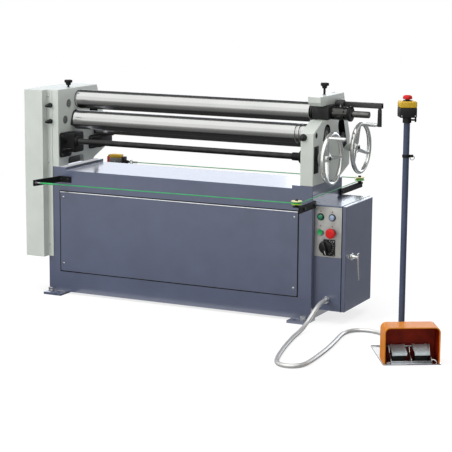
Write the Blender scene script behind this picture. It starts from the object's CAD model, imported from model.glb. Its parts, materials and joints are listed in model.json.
"""Visual model of a powered plate rolling machine with its foot-switch station.

Shapes are drawn in millimetres in the machine's own frame and brought to metres when a piece is made.
"""

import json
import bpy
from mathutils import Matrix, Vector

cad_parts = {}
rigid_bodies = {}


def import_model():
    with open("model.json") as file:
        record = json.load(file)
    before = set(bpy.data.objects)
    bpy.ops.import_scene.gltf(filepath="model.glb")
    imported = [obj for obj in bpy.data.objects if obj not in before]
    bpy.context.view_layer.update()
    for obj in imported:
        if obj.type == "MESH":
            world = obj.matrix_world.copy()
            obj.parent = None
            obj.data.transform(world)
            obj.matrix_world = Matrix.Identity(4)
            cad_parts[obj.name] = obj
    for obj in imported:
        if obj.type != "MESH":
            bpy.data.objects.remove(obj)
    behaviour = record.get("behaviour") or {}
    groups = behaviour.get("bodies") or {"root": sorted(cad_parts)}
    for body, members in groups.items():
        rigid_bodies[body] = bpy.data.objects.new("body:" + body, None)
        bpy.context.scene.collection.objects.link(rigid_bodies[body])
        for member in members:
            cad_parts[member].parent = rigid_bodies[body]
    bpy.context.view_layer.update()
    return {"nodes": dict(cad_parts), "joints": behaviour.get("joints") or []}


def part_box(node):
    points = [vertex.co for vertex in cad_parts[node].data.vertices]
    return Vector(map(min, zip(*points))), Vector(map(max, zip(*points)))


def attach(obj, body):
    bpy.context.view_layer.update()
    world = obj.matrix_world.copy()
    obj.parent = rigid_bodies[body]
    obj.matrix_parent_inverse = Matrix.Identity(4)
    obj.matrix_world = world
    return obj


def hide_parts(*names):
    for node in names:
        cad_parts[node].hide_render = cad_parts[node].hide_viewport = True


bl_info = {
    "name": "Plate rolling machine",
    "version": (1, 0, 0),
    "blender": (4, 5, 0),
    "location": "3D View > Sidebar > Rolling machine",
    "description": "Builds the visible pieces of a plate rolling machine, its finishes and its stage",
    "category": "Object",
}

from itertools import product
from math import atan2, cos, hypot, pi, radians, sin

import bmesh
import bpy
from bpy.props import FloatProperty, FloatVectorProperty, IntProperty, PointerProperty
from mathutils import Matrix, Vector

for leftover in list(bpy.data.objects):
    bpy.data.objects.remove(leftover)
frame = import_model()

MM = 0.001
X = (1, 0, 0)
Y = (0, 1, 0)
Z = (0, 0, 1)
BACK_X = (-1, 0, 0)
BACK_Y = (0, -1, 0)
# Carries an outline drawn flat to the YZ plane, drawn out along X
ACROSS = Matrix(((0, 0, 1, 0), (1, 0, 0, 0), (0, 1, 0, 0), (0, 0, 0, 1)))
# The foot station's own corner and turn on the floor
STATION = Matrix.Translation((1290.0, -751.5, 0.0)) @ Matrix.Rotation(radians(30), 4, "Z")
# The treadles' pivot pin, in the station's own frame
PIVOT = (0, 102, 58)
WHITE = (1, 1, 1, 1)
# Middle and front of the side frames
FRAME_X = 687.5
FRAME_FRONT = -189
# Bore round a cross shaft, and the rolls' radius
SHAFT_BORE = 14.5
ROLL_RADIUS = 47.5

axes = {joint["name"]: Vector(joint["pos_m"]) / MM for joint in frame["joints"] if "pos_m" in joint}


def span(node):
    """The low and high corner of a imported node, in millimetres."""
    low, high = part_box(node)
    return low / MM, high / MM


def linear(code):
    """An sRGB hex code as a linear colour."""
    channels = [int(code[at:at + 2], 16) / 255 for at in (1, 3, 5)]
    return [c / 12.92 if c <= 0.04045 else ((c + 0.055) / 1.055) ** 2.4 for c in channels] + [1.0]


def look(first, second, rough, grain, relief, **more):
    """A finish: tone and second tone, range of roughness, grain in mm and its relief in mm."""
    return {"tones": (first, second), "rough": rough, "grain": grain, "relief": relief, **more}


FINISHES = {
    # Semi-gloss machine enamel sprayed on castings and sheet: even pale grey with a faint orange peel
    "machine_enamel": look("#c5cac4", "#bdc3bc", (0.36, 0.46), 3.2, 0.03, coat=0.25),
    # Slate powder coat baked on sheet steel: fine even grain that turns glossy at a low angle
    "slate_powder_coat": look("#4e5670", "#495169", (0.36, 0.46), 1.8, 0.01, coat=1.0, coat_rough=0.17,
                              coat_ior=1.8),
    # Steel rolls ground between centres: fine rings round the axis and a soft mirror
    "ground_roll_steel": look("#b5b6b4", "#abacaa", (0.17, 0.2), 1.3, 0.0002, metal=1.0, cloud=300,
                              stretch=(1, 160, 160)),
    # Chrome plate polished on a buff: a clear mirror with the faintest clouding
    "polished_chrome": look("#e2e4e1", "#d8dad7", (0.11, 0.17), 12, 0.002, metal=0.78),
    # Black satin enamel brushed on brackets and housings: deep black, soft highlights
    "black_satin_enamel": look("#131414", "#0f1010", (0.46, 0.58), 2.4, 0.02, spec=0.18),
    # Charcoal powder coat on the lever: a shade lighter than the castings, soft and even
    "charcoal_powder_coat": look("#3d3d3d", "#363636", (0.42, 0.54), 1.6, 0.012, spec=0.3),
    # Black-oxide iron: machined, oiled, dark grey with a dull metal sheen
    "black_oxide_iron": look("#393a39", "#2c2d2c", (0.34, 0.48), 1.4, 0.006, metal=0.8, cloud=40, spec=0.3),
    # Slate enamel on the post's tube: the cabinet's colour, but duller
    "slate_tube_enamel": look("#454e64", "#3f485e", (0.44, 0.54), 2.2, 0.012, spec=0.2),
    # Blued steel: near-black sleeve with a quick light edge along its top
    "blued_steel": look("#4d4d4b", "#424240", (0.1, 0.15), 1.2, 0.004, metal=1.0, stretch=(1, 60, 60)),
    # Oiled turned steel: dark mirror that shades from a bright top to a black underside
    "oiled_steel": look("#6d6d6b", "#5c5c5a", (0.25, 0.31), 1.2, 0.002, metal=1.0, cloud=30,
                        stretch=(1, 60, 60)),
    # Turned bronze: warm brown-gold with lathe rings
    "turned_bronze": look("#b98d52", "#a87c44", (0.25, 0.38), 0.9, 0.004, metal=1.0, stretch=(1, 60, 60)),
    # Machined mild steel: mid grey with tool marks along the work
    "machined_steel": look("#a5a6a5", "#8f9090", (0.26, 0.38), 1.0, 0.004, metal=1.0, cloud=60,
                           stretch=(1, 80, 80)),
    # Zinc plate on fasteners: cool pale grey, slightly cloudy
    "zinc_plate": look("#c3c6c9", "#abaeb1", (0.24, 0.38), 2.5, 0.004, metal=1.0, cloud=14),
    # Brushed aluminium legend plate: fine lines across the plate
    "brushed_aluminium": look("#b2b2ae", "#a6a6a2", (0.36, 0.5), 0.8, 0.004, metal=0.35, cloud=30,
                              stretch=(90, 1, 1)),
    # Black ABS moulded in a spark-eroded tool: matt grain
    "black_abs": look("#161616", "#101010", (0.4, 0.54), 0.9, 0.008, cloud=20, spec=0.3),
    # Black phenolic of the switch knob: pressed in a polished tool, glossy
    "black_phenolic": look("#0f0f10", "#0b0b0c", (0.14, 0.22), 2.0, 0.004, cloud=25),
    # Black nitrile rubber: soft and matt
    "grip_rubber": look("#1c1c1c", "#171717", (0.6, 0.75), 1.1, 0.02, cloud=20),
    # Coloured acrylic lenses and ABS caps: smooth moulded gloss
    "green_acrylic": look("#007f58", "#00704e", (0.16, 0.24), 4, 0.004, coat=0.6, cloud=15),
    "clear_acrylic": look("#a9bbd8", "#93a7c8", (0.08, 0.14), 4, 0.004, coat=0.6, cloud=12),
    "green_abs": look("#0f9a4c", "#0d8d45", (0.24, 0.34), 2, 0.006, cloud=15),
    "red_abs": look("#d01512", "#be1210", (0.3, 0.4), 2, 0.006, spec=0.3, cloud=15),
    "yellow_abs": look("#d3aa17", "#c8a113", (0.3, 0.42), 1.4, 0.01, cloud=20),
    # Orange enamel on the pressed guard: strong colour with a soft sheen
    "orange_enamel": look("#dd861c", "#d07c17", (0.36, 0.46), 4, 0.02, spec=0.22),
    # Red oxide wash left inside the guard: dark, dull and patchy
    "red_oxide_wash": look("#9a2605", "#7f1c04", (0.5, 0.65), 3, 0.03, spec=0.15, cloud=40),
    # Silver-grey PVC jacket of flexible conduit: a satin sheen, bright above and dark below
    "conduit_pvc": look("#dadad8", "#d2d2d0", (0.3, 0.36), 5, 0.001, metal=0.6, cloud=60),
    # PVC skin on steel wire rope: bright green with the strands just showing
    "wire_pvc": look("#1fae5b", "#189a4f", (0.25, 0.35), 1.6, 0.03, cloud=25),
    # Moulded nylon pulleys: lime body and a cream cap
    "lime_nylon": look("#9cc73a", "#8fba30", (0.34, 0.46), 1.8, 0.012, cloud=18),
    "cream_nylon": look("#e9e5b4", "#dedaa6", (0.36, 0.48), 1.8, 0.012, cloud=18),
    # Blue-grey motor enamel over a rough casting
    "motor_enamel": look("#3d5570", "#354b64", (0.4, 0.52), 4, 0.08),
    # Cast aluminium treads, fettled with a wire brush: pale and silvery, with a fine matt grain
    "cast_aluminium": look("#e9f6f7", "#dceaeb", (0.34, 0.5), 1.4, 0.02, cloud=18),
    # Cold-rolled steel plate: a clear grey mirror with faint cloudy rolling marks
    "plate_steel": look("#d6d8da", "#cccfd2", (0.05, 0.08), 3, 0.0003, metal=1.0, cloud=45),
    # White screen print on the switch plate: flat and even
    "white_print": look("#dcdcd8", "#d0d0cc", (0.5, 0.6), 0.6, 0.002, cloud=6),
    # Die-cast zinc of the rope switch: dull mid grey
    "die_cast_zinc": look("#6f706e", "#626361", (0.4, 0.55), 1.5, 0.02, metal=0.5, cloud=20),
    # Copper-red legend dots printed on the plate: flat and dull
    "legend_print": look("#8c4a3c", "#7d4034", (0.5, 0.6), 0.6, 0.002, cloud=6),
}


def add(tree, kind, settings=None, values=None, links=None):
    """Add a node, set its properties and sockets, and link outputs of other nodes to it."""
    node = tree.nodes.new(kind)
    for key, value in (settings or {}).items():
        setattr(node, key, value)
    for key, value in (values or {}).items():
        node.inputs[key].default_value = value
    for key, source in (links or {}).items():
        tree.links.new(source, node.inputs[key])
    return node


def finish(name):
    """The named finish, made when it is first asked for."""
    if name in bpy.data.materials:
        return bpy.data.materials[name]
    recipe = FINISHES[name]
    colours = bpy.context.scene.machine_colours
    material = bpy.data.materials.new(name)
    material.use_nodes = True
    tree = material.node_tree
    shader = tree.nodes["Principled BSDF"]
    place = add(tree, "ShaderNodeTexCoord").outputs["Object"]
    grain = recipe["grain"] * MM
    scale = [1 / (grain * share) for share in recipe.get("stretch", (1, 1, 1))]
    fine_place = add(tree, "ShaderNodeMapping", values={"Scale": scale}, links={"Vector": place})
    fine = add(tree, "ShaderNodeTexNoise", values={"Scale": 1.0, "Detail": 3.0},
               links={"Vector": fine_place.outputs["Vector"]}).outputs["Fac"]
    cloud = recipe.get("cloud", 120) * MM
    broad = add(tree, "ShaderNodeTexNoise", values={"Scale": 1 / cloud, "Detail": 2.0},
                links={"Vector": place}).outputs["Fac"]
    # Noise lies mostly between these two levels
    spread = {"From Min": 0.3, "From Max": 0.7}
    clouds = add(tree, "ShaderNodeMapRange", values=spread, links={"Value": broad}).outputs["Result"]
    first, second = (linear(code) for code in recipe["tones"])
    if hasattr(colours, name):
        chosen = list(getattr(colours, name))
        second = [chosen[at] * second[at] / first[at] for at in range(3)] + [1.0]
        first = chosen
    tone = add(tree, "ShaderNodeMix", {"data_type": "RGBA"}, {"A": first, "B": second}, {"Factor": clouds})
    low, high = recipe["rough"]
    rough = add(tree, "ShaderNodeMapRange", values={**spread, "To Min": low, "To Max": high},
                links={"Value": fine})
    relief = add(tree, "ShaderNodeBump", values={"Strength": 0.7, "Distance": recipe["relief"] * MM},
                 links={"Height": fine})
    tree.links.new(tone.outputs["Result"], shader.inputs["Base Color"])
    tree.links.new(rough.outputs["Result"], shader.inputs["Roughness"])
    tree.links.new(relief.outputs["Normal"], shader.inputs["Normal"])
    for socket, key, usual in (("Metallic", "metal", 0.0), ("Specular IOR Level", "spec", 0.5),
                               ("Coat Weight", "coat", 0.0), ("Coat Roughness", "coat_rough", 0.12),
                               ("Coat IOR", "coat_ior", 1.5)):
        shader.inputs[socket].default_value = recipe.get(key, usual)
    return material


def aim(at, along):
    """The matrix that carries a shape standing along Z at the origin to a place and direction."""
    return Matrix.Translation(at) @ Vector(Z).rotation_difference(Vector(along)).to_matrix().to_4x4()


def polar(radius, turn):
    """The two sides of a point on a circle, at a turn in degrees."""
    return radius * cos(radians(turn)), radius * sin(radians(turn))


def placed(bm, place):
    """Move a whole shape to its place."""
    bmesh.ops.transform(bm, matrix=place, verts=bm.verts)
    return bm


def settled(bm, place=None):
    """Merge doubled points, turn the faces outwards and move the shape to its place."""
    bmesh.ops.remove_doubles(bm, verts=bm.verts, dist=0.0005)
    bmesh.ops.recalc_face_normals(bm, faces=bm.faces)
    return bm if place is None else placed(bm, place)


def rounded(bm, edge, segments=2, along=None):
    """Bevel the sharp edges, or only those that run along a direction."""
    chosen = [e for e in bm.edges if e.is_manifold and e.calc_face_angle() > radians(30)]
    if along is not None:
        line = Vector(along)
        chosen = [e for e in chosen if abs((e.verts[1].co - e.verts[0].co).normalized().dot(line)) > 0.99]
    bmesh.ops.bevel(bm, geom=chosen, offset=edge, segments=segments, profile=0.5, affect="EDGES", material=-1,
                    clamp_overlap=True)
    return bm


def pushed(bm, extruded, vec):
    """Draw what an extrusion made out along a direction."""
    verts = [item for item in extruded["geom"] if isinstance(item, bmesh.types.BMVert)]
    bmesh.ops.translate(bm, vec=vec, verts=verts)


def spun(line, at, along, steps):
    """Spin a line of (distance, radius) points round an axis."""
    bm = bmesh.new()
    verts = [bm.verts.new((radius, 0, distance)) for distance, radius in line]
    edges = [bm.edges.new(pair) for pair in zip(verts, verts[1:])]
    bmesh.ops.spin(bm, geom=verts + edges, cent=(0, 0, 0), axis=Z, angle=2 * pi, steps=steps, use_merge=True)
    return settled(bm, aim(at, along))


def turned(profile, at=(0, 0, 0), along=Z, steps=48, bore=0):
    """A turned part: an outside of (distance, radius) points, closed to the axis or to a bore."""
    line = list(profile)
    if line[0][1] != bore:
        line.insert(0, (line[0][0], bore))
    if line[-1][1] != bore:
        line.append((line[-1][0], bore))
    if bore:
        line.append(line[0])
    return spun(line, at, along, steps)


def ring(radius, thickness, at, along, steps, sides):
    """A round bar bent into a full ring."""
    turns = [2 * pi * k / sides for k in range(sides + 1)]
    loop = [(thickness * sin(turn), radius + thickness * cos(turn)) for turn in turns]
    return spun(loop, at, along, steps)


def block(low, high, edge=1.0, segments=2):
    """A box with rounded edges."""
    bm = bmesh.new()
    size = Vector(high) - Vector(low)
    middle = (Vector(high) + Vector(low)) / 2
    bmesh.ops.create_cube(bm, size=1.0, matrix=Matrix.Translation(middle) @ Matrix.Diagonal((*size, 1.0)))
    return rounded(bm, edge, segments) if edge else bm


def drawn_out(outline, depth, start, edge=0.0):
    """An outline of (y, z) points drawn out along X from its start."""
    bm = bmesh.new()
    face = bm.faces.new([bm.verts.new((u, v, 0)) for u, v in outline])
    pushed(bm, bmesh.ops.extrude_face_region(bm, geom=[face]), (0, 0, depth))
    settled(bm)
    if edge:
        rounded(bm, edge)
    return placed(bm, Matrix.Translation((start, 0, 0)) @ ACROSS)


def disc(segments, depth, radius=1.0, swell=None):
    """A flat disc along Z, whose radius may swell with the angle."""
    bm = bmesh.new()
    bmesh.ops.create_circle(bm, cap_ends=True, segments=segments, radius=radius)
    if swell:
        for vert in bm.verts:
            vert.co *= swell(atan2(vert.co.y, vert.co.x))
    pushed(bm, bmesh.ops.extrude_face_region(bm, geom=list(bm.faces)), (0, 0, depth))
    return settled(bm)


def hexagon(across, length, at, along, edge=0.8):
    """A hexagonal bar with softened ends."""
    return settled(rounded(disc(6, length, across / 2 / cos(radians(30))), edge), aim(at, along))


def smooth_line(name, points, radius, sides, steps=12):
    """A round curve along a smooth line through the points."""
    line = bpy.data.curves.new(name, "CURVE")
    line.dimensions = "3D"
    line.bevel_depth = radius
    line.bevel_resolution = sides
    line.resolution_u = steps
    line.use_fill_caps = True
    spline = line.splines.new("NURBS")
    spline.points.add(len(points) - 1)
    for point, place in zip(spline.points, points):
        point.co = (*place, 1.0)
    spline.order_u = 3
    spline.use_endpoint_u = True
    return line


def meshed(curve):
    """A curve or text as a shape. The curve itself is removed."""
    holder = bpy.data.objects.new("scrap", curve)
    mesh = bpy.data.meshes.new_from_object(holder)
    bm = bmesh.new()
    bm.from_mesh(mesh)
    bpy.data.objects.remove(holder)
    bpy.data.curves.remove(curve)
    bpy.data.meshes.remove(mesh)
    return bm


def bent_bar(points, radius):
    """A round bar along a smooth line through the points."""
    return settled(meshed(smooth_line("bent_bar", points, radius, 3)))


def lettering(text, height, place):
    """Raised figures on a plate, made a mesh before they are placed."""
    words = bpy.data.curves.new("lettering", "FONT")
    words.body = text
    words.size = height
    words.extrude = 0.15
    words.align_x = "CENTER"
    words.align_y = "CENTER"
    return settled(meshed(words), place)


def thread(start, end, radius, pitch=2.0, depth=0.8):
    """Points of a threaded length, drawn coarser than the real pitch so that it shows."""
    count = max(2, round((end - start) / pitch))
    step = (end - start) / count
    points = []
    for turn in range(count):
        points += [(start + turn * step, radius - depth), (start + (turn + 0.5) * step, radius)]
    return points + [(end, radius - depth)]


def screw(at, along, radius, head):
    """A socket-head screw seen from outside: washer, head and socket."""
    washer = 1.4
    top = washer + head
    floor = washer + head * 0.5
    profile = [(0, radius * 1.35), (1.2, radius * 1.35), (washer, radius), (top - 0.6, radius),
               (top, radius - 0.6), (top, radius * 0.55), (floor, radius * 0.5)]
    return turned(profile, at, along, 24)


def button_screw(at, along, radius, head):
    """A low domed screw with a small socket."""
    shares = ((0, 1), (0.3, 1), (0.75, 0.8), (1, 0.45), (1, 0.36), (0.4, 0.32))
    return turned([(head * up, radius * out) for up, out in shares], at, along, 20)


def toned(bm, index):
    """Give every face of a part one of its piece's finishes."""
    for face in bm.faces:
        face.material_index = index
    return bm


def piece(name, parts, finishes, node=None, body="machine", place=None, crease=35):
    """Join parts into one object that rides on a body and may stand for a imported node."""
    whole = bmesh.new()
    for part in parts:
        scrap = bpy.data.meshes.new("scrap")
        part.to_mesh(scrap)
        part.free()
        whole.from_mesh(scrap)
        bpy.data.meshes.remove(scrap)
    if place is not None:
        placed(whole, place)
    bmesh.ops.scale(whole, vec=(MM, MM, MM), verts=whole.verts)
    mesh = bpy.data.meshes.new(name)
    whole.to_mesh(mesh)
    whole.free()
    mesh.polygons.foreach_set("use_smooth", [True] * len(mesh.polygons))
    mesh.set_sharp_from_angle(angle=radians(crease))
    for word in finishes:
        mesh.materials.append(finish(word))
    made = bpy.data.objects.new(name, mesh)
    bpy.context.scene.collection.objects.link(made)
    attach(made, body)
    if node:
        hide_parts(node)
    return made


def colour(name, description, word):
    """A colour setting that starts at a finish's first tone."""
    return FloatVectorProperty(name=name, description=description, subtype="COLOR", size=4, min=0, max=1,
                               default=linear(FINISHES[word]["tones"][0]))


class MachineColours(bpy.types.PropertyGroup):
    """Main colours of the machine."""
    machine_enamel: colour("Frame enamel", "Enamel on the castings and the gear cover", "machine_enamel")
    slate_powder_coat: colour("Slate coat", "Powder coat on the cabinet and the control box",
                              "slate_powder_coat")
    orange_enamel: colour("Guard enamel", "Enamel on the foot guard", "orange_enamel")
    wire_pvc: colour("Trip wire", "Skin of the trip wire", "wire_pvc")


class MachineSizes(bpy.types.PropertyGroup):
    """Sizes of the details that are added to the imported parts."""
    conduit_diameter: FloatProperty(name="Conduit", description="Outside diameter of the conduit",
                                    unit="LENGTH", default=0.020)
    rim_sides: IntProperty(name="Rim sides", description="Sides of the handwheel rims' section",
                           default=20, min=8)
    knob_lobes: IntProperty(name="Knob lobes", description="Lobes of the star knobs", default=5, min=3)
    tread_ribs: IntProperty(name="Tread ribs", description="Ribs on each treadle", default=11, min=3)
    rib_height: FloatProperty(name="Rib height", description="Height of the treadle ribs", unit="LENGTH",
                              default=0.0014)
    focal_length: FloatProperty(name="Lens", description="Focal length of the camera in millimetres",
                                default=125.5)


def bare_tree(owner):
    """The empty node tree of a material or world."""
    owner.use_nodes = True
    owner.node_tree.nodes.clear()
    return owner.node_tree


def seen_rays(tree):
    """An output that is 1 for rays from the camera, a mirror or through glass."""
    seen = add(tree, "ShaderNodeLightPath").outputs
    largest = {"operation": "MAXIMUM"}
    shown = add(tree, "ShaderNodeMath", largest, links={0: seen["Is Camera Ray"], 1: seen["Is Glossy Ray"]})
    shown = add(tree, "ShaderNodeMath", largest, links={0: shown.outputs[0], 1: seen["Is Transmission Ray"]})
    return shown.outputs[0]


def sheet(low, high):
    """The corners of a level or upright rectangle, from its low and high corner."""
    first, second = (at for at in range(3) if low[at] != high[at])
    corners = [list(low) for _ in range(4)]
    for corner in (1, 2):
        corners[corner][first] = high[first]
    for corner in (2, 3):
        corners[corner][second] = high[second]
    return corners


class BuildStage(bpy.types.Operator):
    """Build the floor, the studio light and the camera"""
    bl_idname = "rolling_machine.stage"
    bl_label = "Stage"

    def execute(self, context):
        scene = context.scene
        scene.view_settings.view_transform = "Standard"
        scene.world = scene.world or bpy.data.worlds.new("studio")
        tree = bare_tree(scene.world)
        shown = seen_rays(tree)
        soft = add(tree, "ShaderNodeBackground", values={"Color": WHITE, "Strength": 0.42})
        white = add(tree, "ShaderNodeBackground", values={"Color": WHITE, "Strength": 1.0})
        mixed = add(tree, "ShaderNodeMixShader", links={0: shown, 1: soft.outputs[0], 2: white.outputs[0]})
        add(tree, "ShaderNodeOutputWorld", links={"Surface": mixed.outputs[0]})
        self.floor(scene)
        self.cards(scene)
        for name, place, target, size, power in (
                ("top_softbox", (0.2, -0.6, 4.6), (0.2, -0.2, 0.6), (5.0, 4.0), 150),
                ("front_softbox", (-2.6, -5.4, 3.2), (0.0, 0.0, 0.6), (3.0, 2.4), 190),
                ("back_softbox", (1.0, 6.0, 1.6), (0.2, 0.0, 0.7), (6.0, 2.2), 90)):
            lamp = bpy.data.lights.new(name, "AREA")
            lamp.shape = "RECTANGLE"
            lamp.size, lamp.size_y = size
            lamp.energy = power
            holder = bpy.data.objects.new(name, lamp)
            holder.location = place
            holder.rotation_euler = (Vector(target) - Vector(place)).to_track_quat("-Z", "Y").to_euler()
            holder.visible_camera = False
            holder.visible_glossy = False
            scene.collection.objects.link(holder)
        self.camera(scene)
        return {"FINISHED"}

    def stand(self, scene, name, bm, material):
        """A sheet of the stage in its material."""
        mesh = bpy.data.meshes.new(name)
        bm.to_mesh(mesh)
        bm.free()
        mesh.materials.append(material)
        made = bpy.data.objects.new(name, mesh)
        scene.collection.objects.link(made)
        return made

    def floor(self, scene):
        """A pale floor that stays white to the camera apart from the shadow."""
        bm = bmesh.new()
        bmesh.ops.create_grid(bm, x_segments=1, y_segments=1, size=60)
        material = bpy.data.materials.new("studio_floor")
        tree = bare_tree(material)
        shown = seen_rays(tree)
        plain = add(tree, "ShaderNodeBsdfDiffuse", values={"Color": (0.72, 0.72, 0.72, 1)})
        part = add(tree, "ShaderNodeBsdfDiffuse", values={"Color": (0.3, 0.3, 0.3, 1)})
        glow = add(tree, "ShaderNodeEmission", values={"Color": WHITE, "Strength": 0.76})
        both = add(tree, "ShaderNodeAddShader", links={0: part.outputs[0], 1: glow.outputs[0]})
        white = add(tree, "ShaderNodeEmission", values={"Color": WHITE, "Strength": 1.0})
        place = add(tree, "ShaderNodeTexCoord").outputs["Object"]
        reach = add(tree, "ShaderNodeVectorMath", {"operation": "LENGTH"}, links={0: place}).outputs["Value"]
        far = add(tree, "ShaderNodeMapRange", {"interpolation_type": "SMOOTHSTEP"},
                  {"From Min": 1.8, "From Max": 4.5}, {"Value": reach}).outputs["Result"]
        seen = add(tree, "ShaderNodeMixShader", links={0: far, 1: both.outputs[0], 2: white.outputs[0]})
        mixed = add(tree, "ShaderNodeMixShader", links={0: shown, 1: plain.outputs[0], 2: seen.outputs[0]})
        add(tree, "ShaderNodeOutputMaterial", links={"Surface": mixed.outputs[0]})
        # Just below the feet, so that they do not share a plane
        self.stand(scene, "floor", bm, material).location.z = -0.0005

    def cards(self, scene):
        """Dark and bright cards that only reflections see, for the shade on the rolls and the chrome."""
        # Height of the cards that lie on the floor, and where the back wall of cards stands
        skin = 0.0002
        back = 7
        for name, corners, level in (
                ("near_floor_card", sheet((-3, -0.75, skin), (9, -0.3, skin)), 0.12),
                ("mid_floor_card", sheet((-9, -1.6, skin), (9, -0.75, skin)), 0.26),
                ("front_floor_card", sheet((-9, -3, skin), (9, -1.6, skin)), 0.34),
                ("far_floor_card", sheet((-9, -9, skin), (9, -3, skin)), 0.5),
                ("right_floor_card", ((0.95, -0.3, skin), (9, -0.3, skin), (9, 9, skin), (0.6, 9, skin)),
                 0.22),
                ("left_floor_card", sheet((-9, -0.3, skin), (-0.6, 0.3, skin)), 0.05),
                ("rear_floor_card", ((-9, 0.3, skin), (0.8, 0.3, skin), (0.6, 9, skin), (-9, 9, skin)), 0.05),
                ("tray_shade_card", sheet((-0.612, -0.182, 0.634), (0.612, 0.182, 0.634)), 0.05),
                ("plate_card", sheet((0.93, -0.3, 0.02), (0.93, 0.3, 0.45)), 1.2),
                ("front_card", sheet((-10, -9, 0.7), (10, -9, 8)), 1.55),
                ("front_top_card", sheet((-6, -7, 6), (6, 0.5, 6)), 1.85),
                ("back_top_card", sheet((-7, 0.5, 6), (7, 9, 6)), 0.14),
                ("frame_foot_card", sheet((-0.656, -0.187, 0.6475), (-0.656, 0.2, 0.674)), 0.85),
                ("right_card", sheet((8, -9, 0), (8, 9, 4)), 0.15),
                ("back_card", sheet((-9, back, 3.4), (9, back, 6)), 0.12),
                ("back_strip", sheet((-2.5, back, 0.7), (4, back, 3.1)), 2.8),
                ("left_back_strip", sheet((-10, back, 0.7), (-2.5, back, 3.1)), 1.68)):
            bm = bmesh.new()
            bm.faces.new([bm.verts.new(corner) for corner in corners])
            material = bpy.data.materials.new(name)
            tree = bare_tree(material)
            cool = name in ("back_strip", "left_back_strip", "right_floor_card")
            tint = (0.9, 0.95, 1.06, 1) if cool else WHITE
            glow = add(tree, "ShaderNodeEmission", values={"Color": tint, "Strength": level})
            if name in ("tray_shade_card", "plate_card"):
                # Seen from one side only, and clear to the tray or the control box behind it
                behind = add(tree, "ShaderNodeNewGeometry").outputs["Backfacing"]
                clear = add(tree, "ShaderNodeBsdfTransparent")
                glow = add(tree, "ShaderNodeMixShader",
                           links={0: behind, 1: glow.outputs[0], 2: clear.outputs[0]})
            add(tree, "ShaderNodeOutputMaterial", links={"Surface": glow.outputs[0]})
            card = self.stand(scene, name, bm, material)
            for ray in ("camera", "diffuse", "transmission", "volume_scatter", "shadow"):
                setattr(card, "visible_" + ray, False)

    def camera(self, scene):
        """The camera at the photograph's own place."""
        lens = bpy.data.cameras.new("camera")
        lens.sensor_width = 36
        lens.lens = scene.machine_sizes.focal_length
        lens.clip_end = 200
        place = (3.4896, -6.8611, 1.7525)
        yaw, pitch, roll = radians(25.71), radians(-10.16), radians(0.42)
        forward = Vector((-sin(yaw) * cos(pitch), cos(yaw) * cos(pitch), sin(pitch)))
        level = Vector((cos(yaw), sin(yaw), 0))
        side = level * cos(roll) + level.cross(forward) * sin(roll)
        turn = Matrix((side, side.cross(forward), -forward)).transposed().to_4x4()
        camera = bpy.data.objects.new("camera", lens)
        camera.matrix_world = Matrix.Translation(place) @ turn
        scene.collection.objects.link(camera)
        scene.camera = camera


class BuildConduit(bpy.types.Operator):
    """Lay the conduit from the control box to the foot guard"""
    bl_idname = "rolling_machine.conduit"
    bl_label = "Conduit"

    def execute(self, context):
        diameter = context.scene.machine_sizes.conduit_diameter
        # Height of the line where the conduit lies on the floor
        lain = 10.6
        floor = ((770, -495), (786, -580), (806, -680), (830, -780), (854, -870), (878, -938), (914, -976),
                 (964, -978), (1000, -940), (1005, -868), (998, -742), (985, -600), (966, -472), (949, -370),
                 (950, -304), (976, -258), (1024, -240), (1080, -250), (1134, -288))
        route = [(787, -183.5, 112), (787, -228, 112), (783, -277, 92), (775, -322, 58), (768, -372, 28),
                 (765, -430, 12.5), *[(x, y, lain) for x, y in floor], (1174, -346, 14), (1203, -412, 24),
                 (1224, -482, 38), (1246.5, -556.1, 50), (1271.4, -599.22, 50)]
        points = [[value * MM for value in place] for place in route]
        line = smooth_line("conduit_line", points, diameter / 2, 6, 10)
        line.materials.append(finish("conduit_pvc"))
        conduit = bpy.data.objects.new("conduit_line", line)
        context.scene.collection.objects.link(conduit)
        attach(conduit, "machine")
        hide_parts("conduit")
        return {"FINISHED"}


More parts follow.
